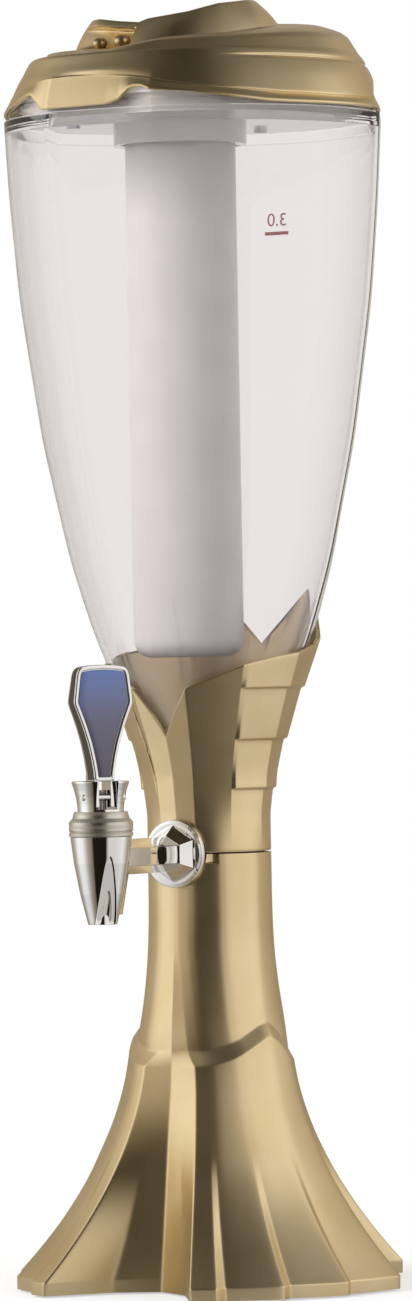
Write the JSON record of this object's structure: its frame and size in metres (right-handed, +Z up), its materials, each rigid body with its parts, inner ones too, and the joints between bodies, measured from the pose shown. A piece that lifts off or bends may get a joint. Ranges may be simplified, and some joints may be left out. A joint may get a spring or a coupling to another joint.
{
  "type": "table-top drink tower dispenser",
  "caption": "Table-top drink tower: clear tapered tank with an inner ice tube and a swirl lid, on a lobed gold foot, with a lever tap on its column.",
  "frame": {"origin": "on the tower's upright axis, at the level it rests on", "axes": "+Z up along the tank's axis, -Y towards the tap, +X to the right when facing the tap"},
  "size_m": [0.1832, 0.1948, 0.577],
  "materials": {
    "gold_shell": "satin metallised gold",
    "clear_tank": "clear, polished",
    "frosted_tube": "clear, lightly frosted",
    "black_plastic": "fine moulded grain",
    "white_plastic": "moulded",
    "screw_steel": "zinc plated",
    "rubber": "moulded",
    "clear_seal": "moulded silicone",
    "ballast_iron": "cast",
    "tap_chrome": "polished",
    "grey_nut": "satin",
    "lever_plastic": "polished",
    "badge_plate": "plain colour fade, no print",
    "steel": "turned"
  },
  "bodies": {
    "tower": {"foot_shell": "gold_shell", "bottom_cover": "black_plastic", "cover_screws": "screw_steel", "rubber_foot_ring": "rubber", "ballast_disc": "ballast_iron", "collar_shell": "gold_shell", "coupling_sleeve": "black_plastic", "tank": "clear_tank", "tank_seat": "rubber", "tap_body": "tap_chrome", "tap_flange": "tap_chrome", "outer_gasket": "rubber", "inner_gasket": "rubber", "shank_washer": "steel", "shank_nut": "steel", "ring_nut": "grey_nut", "stem_seal": "rubber", "gland_ring": "steel"},
    "lid": {"lid_shell": "gold_shell", "lid_liner": "white_plastic", "lid_seal": "clear_seal", "lid_screws": "screw_steel", "ice_tube_gasket": "clear_seal"},
    "ice_tube": {"ice_tube": "frosted_tube"},
    "bonnet": {"crown": "tap_chrome", "pivot_pin": "tap_chrome"},
    "lever": {"lever_handle": "lever_plastic", "handle_badge": "badge_plate"},
    "stem": {"valve_stem": "steel", "stem_pin": "steel", "seat_plug": "rubber", "return_spring": "steel"}
  },
  "joints": [
    {"name": "lid_lift", "type": "slide", "parent": "tower", "child": "lid", "axis": [0, 0, 1], "range_m": [0, 0.25]},
    {"name": "tube_twist", "type": "hinge", "parent": "lid", "child": "ice_tube", "pos_m": [0, -0.014, 0], "axis": [0, 0, 1], "range_deg": [0, 90]},
    {"name": "bonnet_turn", "type": "hinge", "parent": "tower", "child": "bonnet", "pos_m": [0, -0.0895, 0], "axis": [0, 0, 1], "range_deg": [-90, 90]},
    {"name": "lever_tilt", "type": "hinge", "parent": "bonnet", "child": "lever", "pos_m": [0.00383, -0.09271, 0.222], "axis": [0.6428, 0.766, 0], "range_deg": [0, 35], "stiffness_Nm_per_rad": 0.014, "springref_deg": -60.16},
    {"name": "stem_lift", "type": "slide", "parent": "bonnet", "child": "stem", "axis": [0, 0, 1], "range_m": [0, 0.0036], "deforming": ["return_spring"]}
  ],
  "couplings": [
    {"joint": "stem_lift", "follows": "lever_tilt", "m_per_rad": 0.005731}
  ]
}
